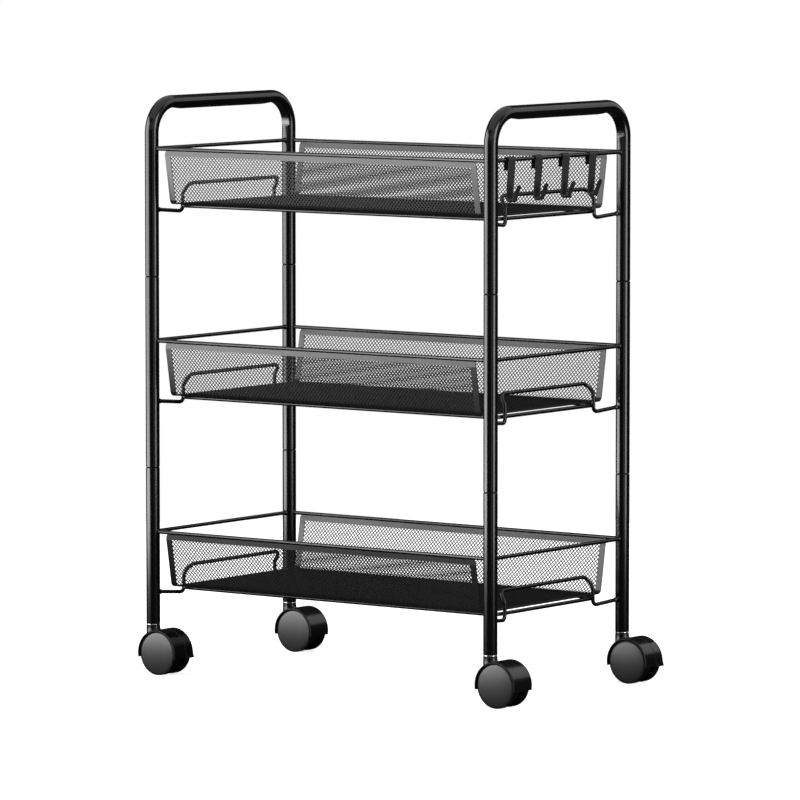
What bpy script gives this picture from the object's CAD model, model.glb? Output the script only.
import math

import bpy
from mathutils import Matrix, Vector


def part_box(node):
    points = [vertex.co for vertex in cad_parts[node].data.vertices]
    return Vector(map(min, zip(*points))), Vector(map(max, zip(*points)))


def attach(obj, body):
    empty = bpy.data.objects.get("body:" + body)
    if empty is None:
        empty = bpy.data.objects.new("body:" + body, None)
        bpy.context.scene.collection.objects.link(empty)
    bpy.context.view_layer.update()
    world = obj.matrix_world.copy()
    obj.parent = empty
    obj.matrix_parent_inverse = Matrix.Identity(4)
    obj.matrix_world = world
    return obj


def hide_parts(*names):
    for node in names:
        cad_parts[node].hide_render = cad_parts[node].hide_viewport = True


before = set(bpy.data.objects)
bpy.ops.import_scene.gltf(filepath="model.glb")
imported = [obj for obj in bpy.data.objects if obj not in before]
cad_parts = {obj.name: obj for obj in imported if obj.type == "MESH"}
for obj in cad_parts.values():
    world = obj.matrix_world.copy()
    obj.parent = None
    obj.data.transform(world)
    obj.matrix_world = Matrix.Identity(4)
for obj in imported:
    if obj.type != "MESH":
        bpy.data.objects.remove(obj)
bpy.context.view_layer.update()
mm = 0.001

sideSign = {"left": -1, "right": 1}
rowSign = {"front": -1, "back": 1}
corners = [(side, row) for side in sideSign for row in rowSign]
braked = [("left", "front"), ("right", "back")]
tiers = ["bottom", "middle", "top"]


def boxOf(node):
    low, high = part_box(node)
    return Vector(low), Vector(high)


# The frame's own places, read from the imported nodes
leftLow, leftHigh = boxOf("handle_left")
rightLow, rightHigh = boxOf("handle_right")
tubeR = (leftHigh.x - leftLow.x) / 2
postX = {"left": leftLow.x + tubeR, "right": rightLow.x + tubeR}
postY = {"front": leftLow.y + tubeR, "back": leftHigh.y - tubeR}
middleX = (postX["left"] + postX["right"]) / 2
barZ = leftHigh.z - tubeR
rimZ = {tier: sum(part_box(tier + "_long_rods")[k][2] for k in (0, 1)) / 2 for tier in tiers}
wireR = (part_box("top_long_rods")[1][2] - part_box("top_long_rods")[0][2]) / 2


def addSocket(tree, name, way, kind, value=None):
    socket = tree.interface.new_socket(name=name, in_out=way, socket_type=kind)
    if value is not None:
        socket.default_value = value
    return socket


class NodeBook:
    # Short hands for building a node tree
    def __init__(self, tree):
        self.tree = tree

    def node(self, kind, **settings):
        made = self.tree.nodes.new(kind)
        for key, value in settings.items():
            setattr(made, key, value)
        return made

    def feed(self, socket, value):
        if isinstance(value, bpy.types.NodeSocket):
            self.tree.links.new(value, socket)
        else:
            socket.default_value = value

    def math(self, operation, *values):
        made = self.node("ShaderNodeMath", operation=operation)
        for socket, value in zip(made.inputs, values):
            self.feed(socket, value)
        return made.outputs[0]

    def vector(self, x=0.0, y=0.0, z=0.0):
        made = self.node("ShaderNodeCombineXYZ")
        for socket, value in zip(made.inputs, (x, y, z)):
            self.feed(socket, value)
        return made.outputs[0]


def makeFinishGroup():
    # Fine grain for the coat, slow drift of tone and gloss, and a little dust lying on top
    tree = bpy.data.node_groups.new("coatFinish", "ShaderNodeTree")
    addSocket(tree, "Base Color", "INPUT", "NodeSocketColor", (0.01, 0.01, 0.01, 1))
    addSocket(tree, "Dust Color", "INPUT", "NodeSocketColor", (0.2, 0.2, 0.2, 1))
    for name, value in (("Dust", 0.05), ("Roughness", 0.3), ("Roughness Drift", 0.08), ("Grain Scale", 1500.0)):
        addSocket(tree, name, "INPUT", "NodeSocketFloat", value)
    addSocket(tree, "Color", "OUTPUT", "NodeSocketColor")
    addSocket(tree, "Roughness", "OUTPUT", "NodeSocketFloat")
    addSocket(tree, "Height", "OUTPUT", "NodeSocketFloat")
    book = NodeBook(tree)
    given, result = book.node("NodeGroupInput").outputs, book.node("NodeGroupOutput").inputs
    place = book.node("ShaderNodeTexCoord").outputs["Object"]

    def filled(kind, output, **values):
        made = book.node(kind)
        for name, value in values.items():
            book.feed(made.inputs[name.replace("_", " ")], value)
        return made.outputs[output]

    grain = filled("ShaderNodeTexNoise", "Fac", Vector=place, Scale=given["Grain Scale"], Detail=2.0)
    drift = filled("ShaderNodeTexNoise", "Fac", Vector=place, Scale=14.0, Detail=5.0)
    specks = filled("ShaderNodeTexNoise", "Fac", Vector=place, Scale=420.0, Detail=4.0)
    speckMask = filled("ShaderNodeMapRange", "Result", Value=specks, From_Min=0.6, From_Max=0.8)
    normal = book.node("ShaderNodeNewGeometry").outputs["Normal"]
    facing = filled("ShaderNodeSeparateXYZ", "Z", Vector=normal)  # dust settles on what faces up
    upward = filled("ShaderNodeMapRange", "Result", Value=facing, From_Min=0.2, To_Min=0.15)
    tone = book.node("ShaderNodeMix", data_type="RGBA")
    dust = book.math("MULTIPLY", book.math("MULTIPLY", speckMask, upward), given["Dust"])
    for name, value in (("Factor", dust), ("A", given["Base Color"]), ("B", given["Dust Color"])):
        book.feed(tone.inputs[name], value)
    book.feed(result["Color"], tone.outputs["Result"])
    centred = book.math("SUBTRACT", drift, 0.5)
    gloss = book.math("MULTIPLY_ADD", centred, given["Roughness Drift"], given["Roughness"])
    book.feed(result["Roughness"], gloss)
    book.feed(result["Height"], grain)
    return tree


finishGroup = makeFinishGroup()


def makeMaterial(name, look):
    material = bpy.data.materials.new(name)
    material.use_nodes = True
    tree = material.node_tree
    shader = tree.nodes["Principled BSDF"]
    finish = tree.nodes.new("ShaderNodeGroup")
    finish.node_tree = finishGroup
    finish.inputs["Base Color"].default_value = (*look["color"], 1)
    finish.inputs["Dust Color"].default_value = (*look.get("dustColor", (0.25, 0.25, 0.25)), 1)
    finish.inputs["Dust"].default_value = look.get("dust", 0.04)
    finish.inputs["Roughness"].default_value = look["roughness"]
    finish.inputs["Roughness Drift"].default_value = look.get("drift", 0.08)
    finish.inputs["Grain Scale"].default_value = look.get("grainScale", 1500.0)
    shader.inputs["Metallic"].default_value = look.get("metallic", 0.0)
    shader.inputs["Coat Weight"].default_value = look.get("coat", 0.0)
    shader.inputs["Coat Roughness"].default_value = look.get("coatRoughness", 0.1)
    shader.inputs["Specular IOR Level"].default_value = look.get("specular", 0.5)
    bump = tree.nodes.new("ShaderNodeBump")
    bump.inputs["Strength"].default_value = look.get("bump", 0.1)
    bump.inputs["Distance"].default_value = look.get("bumpDepth", 0.00005)
    tree.links.new(finish.outputs["Color"], shader.inputs["Base Color"])
    tree.links.new(finish.outputs["Roughness"], shader.inputs["Roughness"])
    tree.links.new(finish.outputs["Height"], bump.inputs["Height"])
    tree.links.new(bump.outputs["Normal"], shader.inputs["Normal"])
    return material


def coatLook(shade, roughness, bump, blue=0.0, **more):
    return dict(color=(shade, shade, shade + blue), roughness=roughness, bump=bump, **more)


finishes = {
    "tubePaint": coatLook(0.0025, 0.17, 0.015, blue=0.0005, coat=0.15, drift=0.04, dust=0.02),
    "wirePaint": coatLook(0.003, 0.22, 0.06, blue=0.0005, coat=0.1, dust=0.02),
    "meshPaint": coatLook(0.012, 0.3, 0.2, blue=0.0005, grainScale=2200.0, dust=0.05),
    "strandPaint": coatLook(0.009, 0.42, 0.2, blue=0.0005, grainScale=2200.0, specular=0.25, dust=0.05),
    "hookPaint": coatLook(0.016, 0.5, 0.25, blue=0.001, specular=0.4),
    "jointPlastic": coatLook(0.002, 0.6, 0.2, specular=0.15),
    "casterPlastic": coatLook(0.004, 0.24, 0.1, coat=0.1, dust=0.03),
    "wheelFace": coatLook(0.014, 0.33, 0.15, blue=0.0005, grainScale=2600.0, specular=0.75),
    "wheelTread": coatLook(0.004, 0.4, 0.3, specular=0.3),
    "chromePlate": dict(color=(0.80, 0.81, 0.83), roughness=0.1, metallic=1.0, bump=0.02, dust=0.0),
    "zincSteel": coatLook(0.50, 0.35, 0.2, blue=0.02, metallic=1.0, dust=0.02),
}
materials = {name: makeMaterial(name, look) for name, look in finishes.items()}
print("materials made:", len(materials))


class Shape:
    # Collects closed shells and turns them into one piece
    def __init__(self):
        self.points, self.faces, self.slots = [], [], []

    def add(self, points, faces, slot=0):
        base = len(self.points)
        self.points += [tuple(p) for p in points]
        self.faces += [tuple(base + i for i in face) for face in faces]
        self.slots += [slot] * len(faces)

    def piece(self, name, finishNames, sharpDeg=35):
        mesh = bpy.data.meshes.new(name)
        mesh.from_pydata(self.points, [], self.faces)
        for finish in finishNames:
            mesh.materials.append(materials[finish])
        mesh.polygons.foreach_set("material_index", self.slots)
        mesh.polygons.foreach_set("use_smooth", [True] * len(mesh.polygons))
        mesh.set_sharp_from_angle(angle=math.radians(sharpDeg))
        mesh.update()
        thing = bpy.data.objects.new(name, mesh)
        bpy.context.scene.collection.objects.link(thing)
        return thing


def ringFaces(rings, sides, closed):
    faces = []
    last = rings if closed else rings - 1
    for i in range(last):
        j = (i + 1) % rings
        for k in range(sides):
            n = (k + 1) % sides
            faces.append((i * sides + k, i * sides + n, j * sides + n, j * sides + k))
    if not closed:
        faces.append(tuple(range(sides - 1, -1, -1)))
        faces.append(tuple((rings - 1) * sides + k for k in range(sides)))
    return faces


def addLathe(shape, profile, origin, axis="Z", sides=48, slot=0):
    # profile: a closed loop of (radius, height), walked with the solid on its left
    turned = {"Z": lambda r, h, a: (r * math.cos(a), r * math.sin(a), h),
              "Y": lambda r, h, a: (r * math.sin(a), h, r * math.cos(a)),
              "X": lambda r, h, a: (h, r * math.cos(a), r * math.sin(a))}[axis]
    count = len(profile)
    points = [Vector(turned(r, h, 2 * math.pi * s / sides)) + Vector(origin)
              for s in range(sides) for r, h in profile]
    faces = []
    for s in range(sides):
        t = (s + 1) % sides
        for k in range(count):
            n = (k + 1) % count
            if profile[k][0] < 1e-9 and profile[n][0] < 1e-9:
                continue
            face = [s * count + k, t * count + k, t * count + n, s * count + n]
            if profile[k][0] < 1e-9:
                face = [s * count + k, t * count + n, s * count + n]
            elif profile[n][0] < 1e-9:
                face = [s * count + k, t * count + k, s * count + n]
            faces.append(tuple(face))
    shape.add(points, faces, slot)


def addTube(shape, path, radius, sides=20, closed=False, squeeze=None, slot=0):
    # Round section carried along the path; squeeze(i, across, up) may reshape the section at point i
    count = len(path)
    heading = []
    for i in range(count):
        before = path[(i - 1) % count] if closed or i > 0 else path[i]
        after = path[(i + 1) % count] if closed or i < count - 1 else path[i]
        heading.append((after - before).normalized())
    side = heading[0].orthogonal().normalized()
    if abs(heading[0].z) < 0.9:
        side = heading[0].cross(Vector((0, 0, 1))).normalized()
    points = []
    for i in range(count):
        side = (side - heading[i] * side.dot(heading[i])).normalized()
        up = heading[i].cross(side)
        size = radius[i] if isinstance(radius, list) else radius
        for k in range(sides):
            angle = 2 * math.pi * k / sides
            offset = side * (size * math.cos(angle)) + up * (size * math.sin(angle))
            if squeeze:
                offset = squeeze(i, offset)
            points.append(path[i] + offset)
    shape.add(points, ringFaces(count, sides, closed), slot)


def roundedPath(corners3, radii, steps=8):
    path = [corners3[0]]
    for i in range(1, len(corners3) - 1):
        corner = corners3[i]
        a = (corner - corners3[i - 1]).normalized()
        b = (corners3[i + 1] - corner).normalized()
        turn = a.angle(b)
        if turn < 1e-5:
            path.append(corner)
            continue
        setback = radii[i] * math.tan(turn / 2)
        centre = corner + (b - a).normalized() * (radii[i] / math.cos(turn / 2))
        spoke = corner - a * setback - centre
        for k in range(steps + 1):
            angle = turn * k / steps
            path.append(centre + spoke * math.cos(angle) + a * (radii[i] * math.sin(angle)))
    path.append(corners3[-1])
    return path


def finishPiece(piece, body, slot, *nodes):
    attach(piece, body)
    if nodes:
        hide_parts(*nodes)


view = {
    "from": Vector((4.0264, -5.4509, 0.9028)),  # metres from the middle of the posts
    "at": Vector((0.01168, 0.00859, 0.29967)),
    "lens": 285.19,
}


def makeCamera():
    data = bpy.data.cameras.new("viewCamera")
    data.lens = view["lens"]
    data.sensor_width = 36.0
    data.clip_end = 60.0
    camera = bpy.data.objects.new("viewCamera", data)
    middle = Vector((middleX, 0, 0))
    camera.location = view["from"] + middle
    camera.rotation_euler = (view["at"] - view["from"]).to_track_quat("-Z", "Y").to_euler()
    bpy.context.scene.collection.objects.link(camera)
    bpy.context.scene.camera = camera


# azimuth is counted from the camera's own direction, positive to the right
studio = {
    "sideBoxes": {
        "leftBox": dict(azimuth=-84, distance=2.6, width=2.9, height=2.4, centre=0.8, glow=5.1),
        "rightBox": dict(azimuth=55, distance=2.6, width=1.15, height=2.4, centre=0.8, glow=4.6),
        "frontBox": dict(azimuth=20, distance=3.2, width=1.5, height=2.4, centre=0.8, glow=0.35),
        "highBox": dict(azimuth=8, distance=3.0, width=4.6, height=1.6, centre=2.0, glow=0.42),
        "backBox": dict(azimuth=112, distance=2.6, width=2.6, height=1.8, centre=1.75, glow=0.9),
    },
    "topBox": dict(size=5.0, height=2.8, glow=0.72),
    # the lit patch of floor that the front walls mirror
    "spill": dict(azimuth=-76, distance=2.05, height=0.002, width=1.7, length=1.4, glow=4.9),
    "room": 0.02,
    "backdrop": 1.0,
    "floorRadius": 1.6,
    "floorColor": (0.9, 0.9, 0.9),
    "floorShade": (0.03, 0.03, 0.03),  # the floor as the glossy parts mirror it
    "floorGlow": 0.8,
}


def addAreaLight(name, place, target, width, height, glow):
    data = bpy.data.lights.new(name, "AREA")
    data.shape = "RECTANGLE"
    data.size = width
    data.size_y = height
    data.energy = glow * math.pi * width * height  # even radiance of glow over the panel
    lamp = bpy.data.objects.new(name, data)
    lamp.location = place
    lamp.rotation_euler = (target - place).to_track_quat("-Z", "Y").to_euler()
    bpy.context.scene.collection.objects.link(lamp)
    return lamp


def aroundCamera(azimuth, distance, height):
    angle = math.atan2(view["from"].y - view["at"].y, view["from"].x - view["at"].x) + math.radians(azimuth)
    return Vector((math.cos(angle) * distance, math.sin(angle) * distance, height))


def makeStudio():
    bpy.context.scene.view_settings.view_transform = "Standard"
    for name, box in studio["sideBoxes"].items():
        place = aroundCamera(box["azimuth"], box["distance"], box["centre"])
        target = Vector((0, 0, box["centre"]))
        addAreaLight(name, place, target, box["width"], box["height"], box["glow"])
    top, spill = studio["topBox"], studio["spill"]
    above = Vector((0, 0, top["height"]))
    addAreaLight("topBox", above, Vector((0, 0, 0)), top["size"], top["size"], top["glow"])
    place = aroundCamera(spill["azimuth"], spill["distance"], spill["height"])
    overhead = place + Vector((0, 0, 1))
    patch = addAreaLight("floorSpill", place, overhead, spill["length"], spill["width"], spill["glow"])
    patch.rotation_euler = (math.pi, 0, -math.atan2(place.y, place.x))
    world = bpy.data.worlds.new("studioRoom")
    bpy.context.scene.world = world
    world.use_nodes = True
    book = NodeBook(world.node_tree)
    back = world.node_tree.nodes["Background"]
    level = book.node("ShaderNodeMapRange")
    seen = book.node("ShaderNodeLightPath").outputs["Is Camera Ray"]
    for name, value in (("Value", seen), ("To Min", studio["room"]), ("To Max", studio["backdrop"])):
        book.feed(level.inputs[name], value)
    book.feed(back.inputs["Strength"], level.outputs["Result"])
    back.inputs["Color"].default_value = (1, 1, 1, 1)
    makeFloor()


def makeFloor():
    sides = 96
    rim = [(studio["floorRadius"] * math.cos(2 * math.pi * k / sides),
            studio["floorRadius"] * math.sin(2 * math.pi * k / sides), 0) for k in range(sides)]
    mesh = bpy.data.meshes.new("paleFloor")
    mesh.from_pydata(rim, [], [tuple(range(sides))])
    paint = bpy.data.materials.new("paleFloor")
    paint.use_nodes = True
    book = NodeBook(paint.node_tree)
    shader = paint.node_tree.nodes["Principled BSDF"].inputs
    seen = book.node("ShaderNodeLightPath").outputs["Is Camera Ray"]
    tone = book.node("ShaderNodeMix", data_type="RGBA")
    for name, value in (("Factor", seen), ("A", (*studio["floorShade"], 1)), ("B", (*studio["floorColor"], 1))):
        book.feed(tone.inputs[name], value)
    book.feed(shader["Base Color"], tone.outputs["Result"])
    book.feed(shader["Emission Strength"], book.math("MULTIPLY", seen, studio["floorGlow"]))
    shader["Emission Color"].default_value = (1, 1, 1, 1)
    shader["Roughness"].default_value = 0.9
    shader["Specular IOR Level"].default_value = 0.0
    mesh.materials.append(paint)
    floor = bpy.data.objects.new("paleFloor", mesh)
    bpy.context.scene.collection.objects.link(floor)


makeCamera()
makeStudio()
print("camera and studio made")


tubes = {
    "wall": 1.0 * mm,
    "edge": 0.35 * mm,  # broken edge at each end of a tube
    "bendR": 33.0 * mm,
    "flat": 2.0 * mm,  # how much a bend is pressed flat on its inside
    "flatRamp": 15.0 * mm,  # length of bar over which the flat fades out
    "grooveR": 7.0 * mm,
    "collarR": 7.3 * mm,
}


def tubeProfile(low, high):
    inner, edge = tubeR - tubes["wall"], tubes["edge"]
    return [(inner, low), (tubeR - edge, low), (tubeR, low + edge), (tubeR, high - edge),
            (tubeR - edge, high), (inner, high)]


def makePosts():
    for side, row in corners:
        for part in ("middle_post", "lower_post"):
            node = f"{side}_{row}_{part}"
            low, high = boxOf(node)
            shape = Shape()
            addLathe(shape, tubeProfile(low.z, high.z), (postX[side], postY[row], 0), sides=64)
            finishPiece(shape.piece(node + "_tube", ["tubePaint"]), "frame", "tube_paint", node)


def makeHandle(side):
    node = "handle_" + side
    bend, edge = tubes["bendR"], tubes["edge"]
    x, legY, lowZ = postX[side], postY["back"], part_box(node)[0][2]
    path, press = [], []

    def put(y, z, amount):
        path.append(Vector((x, y, z)))
        press.append(amount)

    bendZ, bendY = barZ - bend, legY - bend
    for z in (lowZ, lowZ + edge, lowZ + 2 * edge, 500 * mm, bendZ - 1 * mm):
        put(-legY, z, 0)
    put(-legY, bendZ + 1.5 * mm, 1)
    steps = 22
    for k in range(1, steps + 1):
        angle = math.pi / 2 * k / steps
        put(-bendY - bend * math.cos(angle), bendZ + bend * math.sin(angle), 1)
    ramp = 8
    for k in range(ramp + 1):
        put(-bendY + 1.5 * mm + tubes["flatRamp"] * k / ramp, barZ, 1 - k / ramp)
    count = len(path)
    for i in range(count - 1, -1, -1):
        put(-path[i].y, path[i].z, press[i])
    radii = [tubeR] * len(path)
    radii[0] = radii[-1] = tubeR - edge
    hub = {-1: Vector((x, -bendY, bendZ)), 1: Vector((x, bendY, bendZ))}

    def squeeze(i, offset):
        if press[i] <= 0:
            return offset
        inward = hub[-1 if path[i].y < 0 else 1] - path[i]
        if abs(path[i].y) < bendY:
            inward = Vector((0, 0, -1))
        inward.normalize()
        reach = offset.dot(inward)
        limit = tubeR - tubes["flat"] * press[i]
        return offset - inward * max(0.0, reach - limit)

    shape = Shape()
    addTube(shape, path, radii, sides=64, squeeze=squeeze)
    finishPiece(shape.piece(node + "_tube", ["tubePaint"], 60), "frame", "tube_paint", node)


def makeConnectors():
    for name in ("upper_tube_connectors", "lower_tube_connectors"):
        low, high = boxOf(name)
        middle, half = (low.z + high.z) / 2, 0.5 * mm
        reach = (high.z - low.z) / 2
        plugR = tubeR - tubes["wall"] - 0.05 * mm
        shape = Shape()
        for side, row in corners:
            profile = [(0, middle - reach), (plugR, middle - reach), (plugR, middle - half),
                       (tubes["grooveR"], middle - half), (tubes["grooveR"], middle + half),
                       (plugR, middle + half), (plugR, middle + reach), (0, middle + reach)]
            addLathe(shape, profile, (postX[side], postY[row], 0), sides=48)
        finishPiece(shape.piece(name + "_plugs", ["jointPlastic"]), "frame", "joint_plastic", name)


def makeStems():
    low, high = boxOf("caster_stems")
    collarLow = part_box("left_front_caster_body")[1][2] + 0.05 * mm
    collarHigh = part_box("left_front_lower_post")[0][2]
    lowR, highR, lip = 3.5 * mm, 4.0 * mm, 0.4 * mm
    big = tubes["collarR"]
    shape = Shape()
    # the collar's edge is rounded, so it catches the side lights
    edgeR, middle = (collarHigh - collarLow) / 2, (collarHigh + collarLow) / 2
    edge = [(big - edgeR + edgeR * math.cos(math.radians(a)), middle + edgeR * math.sin(math.radians(a)))
            for a in range(-90, 91, 15)]
    for side, row in corners:
        profile = [(0, low.z), (lowR - lip, low.z), (lowR, low.z + lip), (lowR, collarLow)] + edge
        profile += [(highR, collarHigh), (highR, high.z - lip), (highR - lip, high.z), (0, high.z)]
        addLathe(shape, profile, (postX[side], postY[row], 0), sides=48)
    finishPiece(shape.piece("caster_stem_collars", ["chromePlate"]), "frame", "chrome_steel", "caster_stems")


makePosts()
for side in sideSign:
    makeHandle(side)
makeConnectors()
makeStems()
print("tubes made")


wires = {
    "weldR": 3.0 * mm,  # bead where a rod meets a post
    "weldLength": 2.4 * mm,
    "sink": 0.6 * mm,  # how far a rod's end runs into the post
    "ringCornerR": 10.0 * mm,
    "archCornerR": 9.5 * mm,
    "archBendR": 5.0 * mm,
    "archLean": 7.6 * mm,
    "archKinkH": 12.1 * mm,
    "archTopH": 11.7 * mm,
    "archDip": 6.6 * mm,
    "archRootDrop": 3.4 * mm,
    "archInset": 11.8 * mm,  # arch legs, in from the ring's side wires
    "archBeadPlaces": (-1.0 * mm, 0.6 * mm, 1.6 * mm, 2.4 * mm),  # along the wire from its root
    "archBeadRadii": (2.9 * mm, 2.8 * mm, 2.4 * mm),
}


def weldedRod(shape, start, end, sides=24):
    # Straight rod that swells into a small bead at both ends
    along = (end - start).normalized()
    length = (end - start).length
    bead = wires["weldLength"]
    stations = [(0, 1.0), (bead * 0.35, 0.8), (bead * 0.7, 0.3), (bead, 0.0)]
    path, radii = [], []
    for place, swell in stations + [(length - p, s) for p, s in reversed(stations)]:
        path.append(start + along * place)
        radii.append(wireR + (wires["weldR"] - wireR) * swell)
    addTube(shape, path, radii, sides)


def makeRods(tier):
    z = rimZ[tier]
    reach = tubeR - wires["sink"]
    long, end = Shape(), Shape()
    for row in rowSign:
        start = Vector((postX["left"] + reach, postY[row], z))
        weldedRod(long, start, Vector((postX["right"] - reach, postY[row], z)))
    for side in sideSign:
        start = Vector((postX[side], postY["front"] + reach, z))
        weldedRod(end, start, Vector((postX[side], postY["back"] - reach, z)))
    for shape, node in ((long, tier + "_long_rods"), (end, tier + "_end_rods")):
        finishPiece(shape.piece(node + "_wire", ["wirePaint"]), "frame", "wire_paint", node)


def makeRing(tier):
    node = tier + "_support_ring"
    low, high = boxOf(node)
    z = (low.z + high.z) / 2
    x0, x1, y0, y1 = low.x + wireR, high.x - wireR, low.y + wireR, high.y - wireR
    radius, steps = wires["ringCornerR"], 12
    path = []
    for cx, cy, start in ((x1 - radius, y1 - radius, 0), (x0 + radius, y1 - radius, 90),
                          (x0 + radius, y0 + radius, 180), (x1 - radius, y0 + radius, 270)):
        for k in range(steps + 1):
            angle = math.radians(start + 90 * k / steps)
            path.append(Vector((cx + radius * math.cos(angle), cy + radius * math.sin(angle), z)))
    shape = Shape()
    addTube(shape, path, wireR, closed=True, sides=24)
    finishPiece(shape.piece(node + "_wire", ["wirePaint"]), "frame", "wire_paint", node)
    return x1, y1, z


def makeArch(tier, side, ringX, ringY, ringZ):
    node = f"{tier}_{side}_arch"
    sign = sideSign[side]
    legX = ringX - middleX + 2 * wireR
    legY = ringY - wires["archInset"]
    rootX = postX["right"] - middleX - tubeR / 2
    rootY = postY["back"] - tubeR / 2
    half = [Vector((rootX, rootY, -wires["archRootDrop"])),
            Vector((legX, legY, -wires["archDip"])),
            Vector((legX, legY, wires["archKinkH"])),
            Vector((legX - wires["archLean"], legY, wires["archKinkH"] + wires["archTopH"]))]
    whole = half + [Vector((p.x, -p.y, p.z)) for p in reversed(half)]
    bend, corner = wires["archBendR"], wires["archCornerR"]
    path = roundedPath(whole, [0, bend, bend, corner, corner, bend, bend, 0])
    path = [Vector((middleX + sign * p.x, p.y, ringZ + p.z)) for p in path]
    shape = Shape()
    addTube(shape, path, wireR, sides=20)
    for end, following in ((path[0], path[1]), (path[-1], path[-2])):
        direction = (following - end).normalized()
        root = end + direction * tubeR * 0.35
        bead = [root + direction * place for place in wires["archBeadPlaces"]]
        addTube(shape, bead, [*wires["archBeadRadii"], wireR], sides=20)
    finishPiece(shape.piece(node + "_wire", ["wirePaint"], 50), "frame", "wire_paint", node)


for tier in tiers:
    makeRods(tier)
    ringX, ringY, ringZ = makeRing(tier)
    for side in sideSign:
        makeArch(tier, side, ringX, ringY, ringZ)
print("rods, rings and arch wires made")


trays = {
    "lean": 10.5 * mm,  # a wall's foot stands in from its top
    "depth": 60.0 * mm,
    "sheet": 0.8 * mm,
    "border": 1.0 * mm,  # thickness of the plain border
    "foldR": 6.0 * mm,
    "topBorder": 6.3 * mm,
    "topBorderTurn": 5.0,  # degrees the top border stands more upright than the wall
    "endBorder": 7.2 * mm,
    "cornerR": 7.0 * mm,
    "holePitch": 4.29 * mm,
    "rowPitch": 2.33 * mm,
    "strand": 0.65 * mm,
}


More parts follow.
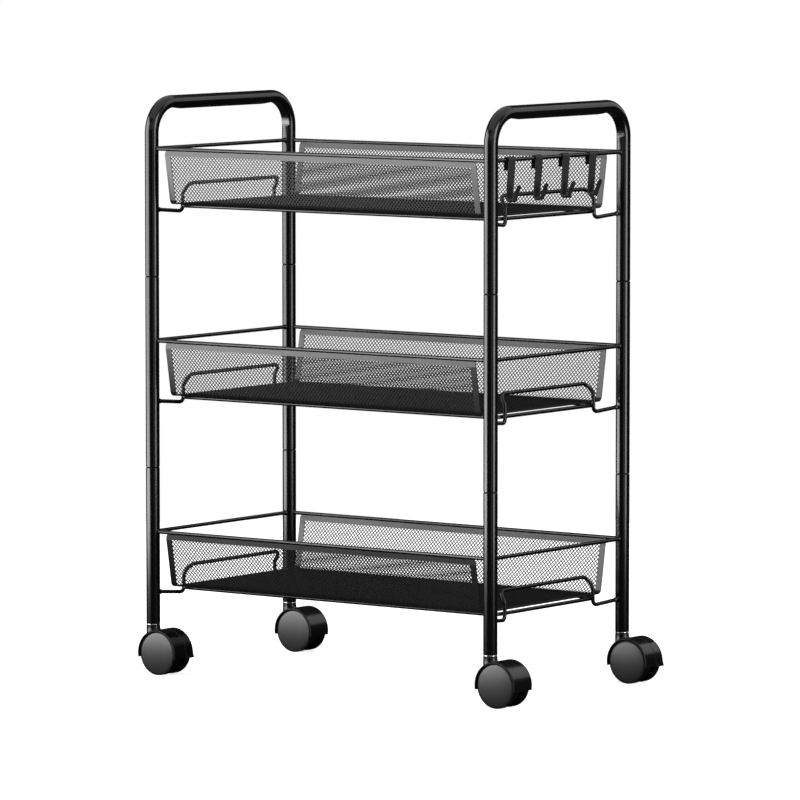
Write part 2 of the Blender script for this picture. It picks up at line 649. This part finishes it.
def makeMeshTree():
    # Two families of strands cross in the flat sheet; the sheet is then folded into a channel
    tree = bpy.data.node_groups.new("expandedMesh", "GeometryNodeTree")
    for name, kind in (("Geometry", "NodeSocketGeometry"), ("Hole Pitch", "NodeSocketFloat"),
                       ("Row Pitch", "NodeSocketFloat"), ("Fold Angle", "NodeSocketFloat"),
                       ("Strand Width", "NodeSocketFloat"), ("Sheet Thickness", "NodeSocketFloat"),
                       ("Floor Half Width", "NodeSocketFloat"), ("Fold Radius", "NodeSocketFloat"),
                       ("Wall Height", "NodeSocketFloat"), ("Half Length", "NodeSocketFloat"),
                       ("Strand Count", "NodeSocketInt"),
                       ("Material", "NodeSocketMaterial")):
        addSocket(tree, name, "INPUT", kind)
    addSocket(tree, "Geometry", "OUTPUT", "NodeSocketGeometry")
    book = NodeBook(tree)
    given = book.node("NodeGroupInput").outputs
    result = book.node("NodeGroupOutput")
    pitch, rowPitch, turn = given["Hole Pitch"], given["Row Pitch"], given["Fold Angle"]
    flat, fold, wall = given["Floor Half Width"], given["Fold Radius"], given["Wall Height"]
    halfLength, count = given["Half Length"], given["Strand Count"]
    arc = book.math("MULTIPLY", fold, turn)
    foldEnd = book.math("ADD", flat, arc)
    top = book.math("ADD", foldEnd, wall)
    starts = book.math("MULTIPLY", book.math("MULTIPLY", count, pitch), -0.5)
    line = book.node("GeometryNodeMeshLine")
    book.feed(line.inputs["Count"], count)
    book.feed(line.inputs["Start Location"], book.vector(x=starts))
    book.feed(line.inputs["Offset"], book.vector(x=pitch))
    place = book.node("ShaderNodeSeparateXYZ")
    book.feed(place.inputs[0], book.node("GeometryNodeInputPosition").outputs[0])
    baseU = place.outputs["X"]
    leftEnd = book.math("MULTIPLY", halfLength, -1.0)
    joined = book.node("GeometryNodeJoinGeometry")

    def addStrands(family, low, high, segments):
        slope = book.math("DIVIDE", book.math("MULTIPLY", pitch, family / 2), rowPitch)
        atRight = book.math("DIVIDE", book.math("SUBTRACT", halfLength, baseU), slope)
        atLeft = book.math("DIVIDE", book.math("SUBTRACT", leftEnd, baseU), slope)
        start = book.math("MAXIMUM", low, book.math("MINIMUM", atRight, atLeft))
        end = book.math("MINIMUM", high, book.math("MAXIMUM", atRight, atLeft))
        middle = book.math("MULTIPLY", book.math("ADD", start, end), 0.5)
        span = book.math("SUBTRACT", end, start)
        stretch = book.math("SQRT", book.math("ADD", book.math("MULTIPLY", slope, slope), 1.0))
        moved = book.node("GeometryNodeSetPosition")
        book.feed(moved.inputs["Geometry"], line.outputs["Mesh"])
        book.feed(moved.inputs["Position"], book.vector(
            x=book.math("ADD", baseU, book.math("MULTIPLY", slope, middle)), y=middle, z=family * 0.00003))
        strand = book.node("GeometryNodeMeshCube")
        book.feed(strand.inputs["Size"], (1.0, 1.0, 1.0))
        book.feed(strand.inputs["Vertices X"], segments + 1)
        spread = book.node("GeometryNodeInstanceOnPoints")
        book.feed(spread.inputs["Points"], moved.outputs["Geometry"])
        book.feed(spread.inputs["Instance"], strand.outputs["Mesh"])
        # position is read before the points are moved, so the test and the scale are stored first
        book.feed(spread.inputs["Rotation"], book.vector(z=book.math("ARCTAN2", 1.0, slope)))
        kept = book.node("GeometryNodeStoreNamedAttribute", data_type="FLOAT", domain="POINT")
        book.feed(kept.inputs["Geometry"], line.outputs["Mesh"])
        kept.inputs["Name"].default_value = "span"
        book.feed(kept.inputs["Value"], span)
        book.feed(moved.inputs["Geometry"], kept.outputs["Geometry"])
        read = book.node("GeometryNodeInputNamedAttribute", data_type="FLOAT")
        read.inputs["Name"].default_value = "span"
        savedSpan = read.outputs["Attribute"]
        book.feed(spread.inputs["Selection"], book.math("GREATER_THAN", savedSpan, 0.0003))
        book.feed(spread.inputs["Scale"], book.vector(
            x=book.math("MULTIPLY", savedSpan, stretch), y=given["Strand Width"], z=given["Sheet Thickness"]))
        book.tree.links.new(spread.outputs["Instances"], joined.inputs["Geometry"])

    flatLeft, foldLeft, topLeft = (book.math("MULTIPLY", value, -1.0) for value in (flat, foldEnd, top))
    for family in (-1, 1):
        addStrands(family, flatLeft, flat, 1)
        addStrands(family, flat, foldEnd, 5)
        addStrands(family, foldLeft, flatLeft, 5)
        addStrands(family, foldEnd, top, 1)
        addStrands(family, topLeft, foldLeft, 1)
    solid = book.node("GeometryNodeRealizeInstances")
    book.tree.links.new(joined.outputs["Geometry"], solid.inputs["Geometry"])

    # fold: u stays, v runs along floor, bend and wall, w is the height over the sheet
    spot = book.node("ShaderNodeSeparateXYZ")
    book.feed(spot.inputs[0], book.node("GeometryNodeInputPosition").outputs[0])
    u, v, w = spot.outputs
    distance = book.math("ABSOLUTE", v)
    past = book.math("MAXIMUM", book.math("SUBTRACT", distance, flat), 0.0)
    angle = book.math("MINIMUM", book.math("DIVIDE", past, fold), turn)
    rise = book.math("MAXIMUM", book.math("SUBTRACT", past, arc), 0.0)
    inner = book.math("SUBTRACT", fold, w)
    sweep = book.math("MULTIPLY", inner, book.math("SINE", angle))
    bent = book.math("ADD", book.math("MINIMUM", distance, flat), sweep)
    across = book.math("ADD", bent, book.math("MULTIPLY", rise, book.math("COSINE", turn)))
    lifted = book.math("SUBTRACT", fold, book.math("MULTIPLY", inner, book.math("COSINE", angle)))
    height = book.math("ADD", lifted, book.math("MULTIPLY", rise, book.math("SINE", turn)))
    folded = book.node("GeometryNodeSetPosition")
    book.feed(folded.inputs["Geometry"], solid.outputs["Geometry"])
    foldedY = book.math("MULTIPLY", across, book.math("SIGN", v))
    book.feed(folded.inputs["Position"], book.vector(u, foldedY, height))
    painted = book.node("GeometryNodeSetMaterial")
    book.feed(painted.inputs["Geometry"], folded.outputs["Geometry"])
    book.feed(painted.inputs["Material"], given["Material"])
    book.tree.links.new(painted.outputs["Geometry"], result.inputs["Geometry"])
    return tree


meshTree = makeMeshTree()


def runTree(tree, name, values):
    holder = bpy.data.objects.new(name, bpy.data.meshes.new(name + "Seed"))
    bpy.context.scene.collection.objects.link(holder)
    modifier = holder.modifiers.new("pattern", "NODES")
    modifier.node_group = tree
    keys = {item.name: item.identifier for item in tree.interface.items_tree
            if item.item_type == "SOCKET" and item.in_out == "INPUT"}
    for key, value in values.items():
        modifier[keys[key]] = value
    bpy.context.view_layer.update()
    seen = holder.evaluated_get(bpy.context.evaluated_depsgraph_get())
    mesh = bpy.data.meshes.new_from_object(seen)
    holder.modifiers.clear()
    bpy.data.objects.remove(holder)
    mesh.name = name
    return mesh


def channelPoint(u, v, w, size):
    # same fold as the mesh: v = 0 is the middle of the floor
    flat, fold, turn = size["flat"], size["fold"], size["turn"]
    distance = abs(v)
    past = max(distance - flat, 0)
    angle = min(past / fold, turn)
    rise = max(past - fold * turn, 0)
    y = min(distance, flat) + (fold - w) * math.sin(angle) + rise * math.cos(turn)
    z = fold - (fold - w) * math.cos(angle) + rise * math.sin(turn)
    return Vector((u, math.copysign(y, v) if v else 0.0, z))


def endBorder(shape, size, sign):
    # Plain band along one open end: down a wall, round the fold, over the floor and up again
    half, thick, wide = size["half"], trays["border"] / 2, trays["endBorder"]
    flat, foldEnd, reach = size["flat"], size["foldEnd"], size["bandFoot"] + 0.3 * mm
    climb = [flat + (foldEnd - flat) * k / 8 for k in range(9)] + [reach]
    stations = [-v for v in reversed(climb)] + climb
    points = []
    for v in stations:
        for u, w in ((half - wide, -thick), (half, -thick), (half, thick), (half - wide, thick)):
            points.append(channelPoint(sign * u, v, w, size))
    faces = ringFaces(len(stations), 4, False)
    if sign < 0:
        faces = [tuple(reversed(face)) for face in faces]
    shape.add(points, faces, 0)


def topBorder(shape, size, sign):
    # Plain band under the rim rod, over the whole length, with rounded top corners
    half, thick, corner = size["half"], trays["border"] / 2 + 0.05 * mm, trays["cornerR"]
    turn = size["turn"] + math.radians(trays["topBorderTurn"])
    foot = channelPoint(0, size["bandFoot"], 0, size)
    height = size["top"] - size["bandFoot"]
    below = size["rim"] - size["bandFoot"]  # from the band's foot up to the rod's middle
    side = [(half, 0.0)]
    for k in range(9):
        climb = below - corner + (height - below + corner) * k / 8
        side.append((half - corner + math.sqrt(corner ** 2 - (climb - below + corner) ** 2), climb))
    outline = side + [(-u, climb) for u, climb in reversed(side)]
    count = len(outline)
    points = []
    for w in (-thick, thick):
        for u, climb in outline:
            y = foot.y + climb * math.cos(turn) - w * math.sin(turn)
            points.append(Vector((u, sign * y, foot.z + climb * math.sin(turn) + w * math.cos(turn))))
    faces = [(k, (k + 1) % count, count + (k + 1) % count, count + k) for k in range(count)]
    faces += [tuple(range(count - 1, -1, -1)), tuple(range(count, 2 * count))]
    if sign < 0:
        faces = [tuple(reversed(face)) for face in faces]
    shape.add(points, faces, 0)


def makeTray(tier):
    node = tier + "_tray"
    low, high = boxOf(node)
    lean, depth, outer = trays["lean"], trays["depth"], trays["foldR"]
    turn = math.atan2(depth, lean)
    fold = outer - trays["border"] / 2
    wallY = postY["back"] - trays["border"] / 2  # outer face of the wall at the rod's height
    flat = wallY - lean - outer * (math.hypot(lean, depth) - lean) / depth
    floorZ = low.z + trays["border"] / 2
    foldEnd = flat + fold * turn
    foldTop = fold * (1 - math.cos(turn))
    rim = foldEnd + (rimZ[tier] - floorZ - foldTop) / math.sin(turn)
    top = rim - 0.85 * wireR
    size = dict(flat=flat, fold=fold, turn=turn, foldEnd=foldEnd, rim=rim, top=top,
                bandFoot=top - trays["topBorder"], half=(high.x - low.x) / 2)
    mesh = runTree(meshTree, node + "Strands", {
        "Hole Pitch": trays["holePitch"], "Row Pitch": trays["rowPitch"], "Fold Angle": turn,
        "Strand Width": trays["strand"], "Sheet Thickness": trays["sheet"], "Floor Half Width": flat,
        "Fold Radius": fold, "Wall Height": size["bandFoot"] + 1.0 * mm - foldEnd,
        "Half Length": size["half"] - trays["endBorder"] * 0.9,
        "Strand Count": 180, "Material": materials["strandPaint"]})
    shape = Shape()
    points = [vertex.co.copy() for vertex in mesh.vertices]
    shape.add(points, [tuple(polygon.vertices) for polygon in mesh.polygons], 1)
    bpy.data.meshes.remove(mesh)
    for sign in (-1, 1):
        endBorder(shape, size, sign)
        topBorder(shape, size, sign)
    centre = (low.x + high.x) / 2
    shape.points = [(centre + p[0], p[1], floorZ + p[2]) for p in shape.points]
    piece = shape.piece(node + "_mesh", ["meshPaint", "strandPaint"], 30)
    finishPiece(piece, "frame", "mesh_paint", node)
    print(node, "faces", len(piece.data.polygons))


for tier in tiers:
    makeTray(tier)
print("trays made")


hooks = {
    "loopR": 2.9 * mm,  # middle of the strip around the rod
    "thick": 1.0 * mm,
    "width": 12.5 * mm,
    "footWidth": 12.1 * mm,
    "tipWidth": 7.6 * mm,
    "backLeg": 11.0 * mm,
    "drop": 44.0 * mm,
    "cupR": 3.7 * mm,  # middle of the strip
    "lean": 3.4 * mm,
    "tipLean": 5.5 * mm,
    "tipHeight": 18.0 * mm,
    "edgeR": 0.3 * mm,
}


def hookPath():
    # (x, z, width) along the middle of the strip, from the back leg over the rod to the tip
    size = hooks
    path = [(-size["loopR"], -size["backLeg"], size["width"] - 1.2 * mm),
            (-size["loopR"], -size["backLeg"] + 0.8 * mm, size["width"])]
    for k in range(17):
        angle = math.pi * (1 - k / 16)
        path.append((size["loopR"] * math.cos(angle), size["loopR"] * math.sin(angle), size["width"]))
    cupX = size["loopR"] - size["lean"] + size["cupR"]
    cupZ = -size["drop"] + size["cupR"] + size["thick"] / 2
    for k in range(17):
        angle = math.pi * (1 + k / 16)
        narrow = min(1.0, max(0.0, (k - 6) / 6))
        width = size["footWidth"] + (size["tipWidth"] - size["footWidth"]) * narrow
        path.append((cupX + size["cupR"] * math.cos(angle), cupZ + size["cupR"] * math.sin(angle), width))
    tipZ = -size["drop"] + size["tipHeight"]
    startX, rise = cupX + size["cupR"], tipZ - cupZ
    roundR = size["tipWidth"] / 2
    length = math.hypot(size["tipLean"], rise)
    for place in [0.3, 0.6] + [1 - roundR / length * (1 - math.sin(math.radians(a))) for a in range(0, 91, 15)]:
        left = (1 - place) * length
        width = size["tipWidth"]
        if left < roundR:
            width = 2 * math.sqrt(max(roundR ** 2 - (roundR - left) ** 2, 0.0)) + 0.3 * mm
        path.append((startX + size["tipLean"] * place, cupZ + rise * place, width))
    return path


def makeHook(index):
    node = f"hook_{index + 1}"
    low, high = boxOf(node)
    y = (low.y + high.y) / 2
    path = hookPath()
    half, edge = hooks["thick"] / 2, hooks["edgeR"]
    points = []
    for i, (x, z, width) in enumerate(path):
        before, after = path[max(i - 1, 0)], path[min(i + 1, len(path) - 1)]
        along = Vector((after[0] - before[0], 0, after[1] - before[1])).normalized()
        normal = Vector((-along.z, 0, along.x))
        side = max(width / 2 - edge, 0.02 * mm)
        wide, deep = side + edge, half - edge
        for across, out in ((wide, -deep), (wide, deep), (side, half), (-side, half),
                            (-wide, deep), (-wide, -deep), (-side, -half), (side, -half)):
            points.append(Vector((postX["right"] + x, y + across, rimZ["top"] + z)) + normal * out)
    shape = Shape()
    shape.add(points, ringFaces(len(path), 8, False))
    finishPiece(shape.piece(node + "_strip", ["hookPaint"], 40), node, "hook_paint", node)


for index in range(4):
    makeHook(index)
print("hooks made")


casters = {
    "trail": 16.5 * mm,
    "hoodOut": 25.7 * mm,
    "hoodIn": 24.3 * mm,
    "halfWidth": 16.0 * mm,
    "edgeZ": 18.7 * mm,
    "webHalf": 4.8 * mm,
    "webR": 20.4 * mm,
    "barrelR": 7.5 * mm,
    "barrelEdge": 0.5 * mm,
    "barrelFootR": 25.0 * mm,
    "barrelFoot": ((0.3, 0.0), (1.16, 0.4 * mm), (1.06, 1.6 * mm), (1.0, 3.0 * mm)),  # (share of radius, lift)
    "stemHoleR": 3.7 * mm,
    "wheelR": 23.4 * mm,
    "wheelInner": 5.1 * mm,
    "rimR": 1.5 * mm,
    "outerRimR": 0.5 * mm,
    "faceInset": 0.8 * mm,  # gap ring between the tread's edge and the face
    "faceBulge": 1.45 * mm,
    "shoulder": 14.15 * mm,  # tread's outer edge, out from the middle of the caster
    "leverInner": 2.8 * mm,
    "leverTop": 51.0,  # degrees
    "leverFit": 0.3 * mm,
    "knuckleR": 1.3 * mm,
    "pinR": 0.75 * mm,
    "flare": 2.15 * mm,
    "flareHeight": 7.0 * mm,
}


def hoodArc(radius, fromDeg, toDeg, steps, edgeZ, axleZ):
    # Angles in degrees; where an end is None it stops at the level edge of the hood
    level = math.degrees(math.asin((edgeZ - axleZ) / radius))
    first = level if fromDeg is None else fromDeg
    last = 180 - level if toDeg is None else toDeg
    return [math.radians(first + (last - first) * k / steps) for k in range(steps + 1)]


def shellSection(inn, out, low, high, lip):
    # (radius, y) round a shell whose outer edges are broken by lip
    return [(inn, low), (out - lip, low), (out, low + lip), (out, high - lip), (out - lip, high), (inn, high)]


def addHood(shape, origin, yLow, yHigh, fromDeg, toDeg):
    size = casters
    axleZ = size["wheelR"]
    out, inn, lip = size["hoodOut"], size["hoodIn"], 0.45 * mm
    section = shellSection(inn, out, yLow, yHigh, lip)
    steps = 56
    rings = []
    arcs = [hoodArc(radius, fromDeg, toDeg, steps, size["edgeZ"], axleZ) for radius, y in section]
    for k in range(steps + 1):
        for (radius, y), arc in zip(section, arcs):
            rings.append(Vector((origin.x + size["trail"] + radius * math.cos(arc[k]), origin.y + y,
                                 axleZ + radius * math.sin(arc[k]))))
    shape.add(rings, [tuple(reversed(face)) for face in ringFaces(steps + 1, len(section), False)])


def addWeb(shape, origin):
    size = casters
    axleZ, half, radius, webR = size["wheelR"], size["webHalf"], size["hoodIn"] + 0.3 * mm, size["webR"]
    upper = hoodArc(radius, None, None, 40, size["edgeZ"], axleZ)
    outline = [(radius * math.cos(a), radius * math.sin(a)) for a in upper]
    lower = hoodArc(webR, None, None, 2, size["edgeZ"], axleZ)
    start, end, steps = math.pi - lower[0], 2 * math.pi + lower[0], 30
    for k in range(steps + 1):
        angle = start + (end - start) * k / steps
        outline.append((webR * math.cos(angle), webR * math.sin(angle)))
    count = len(outline)
    points = [Vector((origin.x + size["trail"] + x, origin.y + y, axleZ + z))
              for y in (-half, half) for x, z in outline]
    faces = [(k, (k + 1) % count, count + (k + 1) % count, count + k) for k in range(count)]
    faces += [tuple(range(count - 1, -1, -1)), tuple(range(count, 2 * count))]
    shape.add(points, [tuple(reversed(face)) for face in faces])


def addBarrel(shape, origin, topZ):
    # Stem barrel whose foot follows the round hood
    size = casters
    axleZ, sides, barrelR, edge = size["wheelR"], 48, size["barrelR"], size["barrelEdge"]
    inside = size["barrelFootR"]
    points = []

    def addCircle(radius, height):
        for k in range(sides):
            angle = 2 * math.pi * k / sides
            x, y = radius * math.cos(angle), radius * math.sin(angle)
            points.append(Vector((origin.x + x, origin.y + y, height(x))))

    for share, lift in size["barrelFoot"]:
        addCircle(share * barrelR, lambda x: axleZ + math.sqrt(
            max((inside + lift) ** 2 - (x - size["trail"]) ** 2, 0)))
    for radius, z in ((barrelR, topZ - edge), (barrelR - edge, topZ), (size["stemHoleR"], topZ)):
        addCircle(radius, lambda x: z)
    shape.add(points, ringFaces(len(points) // sides, sides, False))


def makeCasterBody(side, row):
    node = f"{side}_{row}_caster_body"
    size = casters
    origin = Vector((postX[side], postY[row], 0))
    half = size["halfWidth"]
    shape = Shape()
    if (side, row) in braked:
        split = size["leverInner"] - size["leverFit"]
        gap = math.degrees((size["knuckleR"] + size["leverFit"]) / size["hoodOut"])
        addHood(shape, origin, -half, split, None, None)
        addHood(shape, origin, split, half, size["leverTop"] + gap, None)
    else:
        addHood(shape, origin, -half, half, None, None)
    addWeb(shape, origin)
    addBarrel(shape, origin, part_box(node)[1][2])
    body = f"{side}_{row}_caster"
    finishPiece(shape.piece(node + "_shell", ["casterPlastic"], 30), body, "caster_plastic", node)


def wheelProfile():
    # (radius, distance from the web) of a wheel with a rounded tread and a shallow domed face
    size = casters
    inner, rim, outerRim = size["wheelInner"], size["rimR"], size["outerRimR"]
    treadR = size["wheelR"]
    faceR, shoulder = treadR - size["faceInset"], size["shoulder"]
    tread = [(3.0 * mm, inner), (treadR - rim, inner)]
    for degrees in range(15, 91, 15):
        turn = math.radians(degrees)
        tread.append((treadR - rim + rim * math.sin(turn), inner + rim - rim * math.cos(turn)))
    for degrees in range(0, 76, 25):
        turn = math.radians(degrees)
        tread.append((treadR - outerRim + outerRim * math.cos(turn),
                      shoulder - outerRim + outerRim * math.sin(turn)))
    tread += [(treadR - outerRim, shoulder), (faceR + 0.2 * mm, shoulder - 0.05 * mm),
              (faceR + 0.15 * mm, shoulder - 0.4 * mm)]
    disc = [(faceR, shoulder - 0.4 * mm), (faceR - 0.03 * mm, shoulder)]
    steps = 14
    for k in range(steps + 1):
        radius = (faceR - 0.2 * mm) * (1 - k / steps)
        disc.append((radius, shoulder + 0.12 * mm + size["faceBulge"] * (1 - (radius / faceR) ** 2) ** 0.9))
    return tread + disc + [(0.0, inner)]


def makeWheel(side, row, which):
    node = f"{side}_{row}_{which}_wheel"
    sign = -1 if which == "near" else 1
    shape = Shape()
    origin = (postX[side] + casters["trail"], postY[row], casters["wheelR"])
    addLathe(shape, [(radius, sign * height) for radius, height in wheelProfile()], origin, axis="Y", sides=72)
    if sign < 0:
        shape.faces = [tuple(reversed(face)) for face in shape.faces]
    faceR = casters["wheelR"] - casters["faceInset"] + 0.1 * mm
    shoulder = casters["shoulder"]
    for i, face in enumerate(shape.faces):
        centre = sum((Vector(shape.points[k]) for k in face), Vector()) / len(face)
        radius = math.hypot(centre.x - origin[0], centre.z - origin[2])
        if radius < faceR and abs(centre.y - origin[1]) > shoulder - 0.25 * mm:
            shape.slots[i] = 1
    finishPiece(shape.piece(node + "_tyre", ["wheelTread", "wheelFace"], 40), node, "wheel_plastic", node)


def makeLever(side, row):
    node = f"{side}_{row}_brake_lever"
    size = casters
    axleZ = size["wheelR"]
    origin = Vector((postX[side], postY[row], 0))
    low, high = size["leverInner"], size["halfWidth"]
    bottom = math.degrees(math.asin((size["edgeZ"] - axleZ) / size["hoodOut"]))
    flareTop = math.degrees(math.asin((size["edgeZ"] + size["flareHeight"] - axleZ) / size["hoodOut"]))
    topDeg = size["leverTop"] - 1.5
    steps, lip = 32, 0.35 * mm
    points = []
    for k in range(steps + 1):
        angle = bottom + (topDeg - bottom) * k / steps
        push = 0.0
        if angle < flareTop:
            push = size["flare"] * ((flareTop - angle) / (flareTop - bottom)) ** 1.7
        out = size["hoodOut"] + push
        inn = size["hoodIn"] + push * 0.75
        turn = math.radians(angle)
        for radius, y in shellSection(inn, out, low, high, lip):
            x = size["trail"] + radius * math.cos(turn)
            z = max(axleZ + radius * math.sin(turn), size["edgeZ"])
            points.append(Vector((origin.x + x, origin.y + y, z)))
    shape = Shape()
    shape.add(points, [tuple(reversed(face)) for face in ringFaces(steps + 1, 6, False)])
    pivot = size["hoodOut"] - size["knuckleR"]
    turn = math.radians(size["leverTop"])
    centre = (origin.x + size["trail"] + pivot * math.cos(turn), origin.y, axleZ + pivot * math.sin(turn))
    knuckle = size["knuckleR"]
    profile = shellSection(size["pinR"], knuckle, low, high, 0.2 * mm)
    addLathe(shape, profile, centre, axis="Y", sides=24)
    finishPiece(shape.piece(node + "_flap", ["casterPlastic"]), node, "lever_plastic", node)


for side, row in corners:
    makeCasterBody(side, row)
    for which in ("near", "far"):
        makeWheel(side, row, which)
for side, row in braked:
    makeLever(side, row)
print("casters made")


def paintNode(node, finish):
    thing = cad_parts[node]
    for slot in thing.material_slots:
        slot.material = materials[finish]


paintNode("stem_sleeves", "zincSteel")
for side, row in corners:
    paintNode(f"{side}_{row}_axle", "zincSteel")
for side, row in braked:
    paintNode(f"{side}_{row}_lever_pin", "zincSteel")
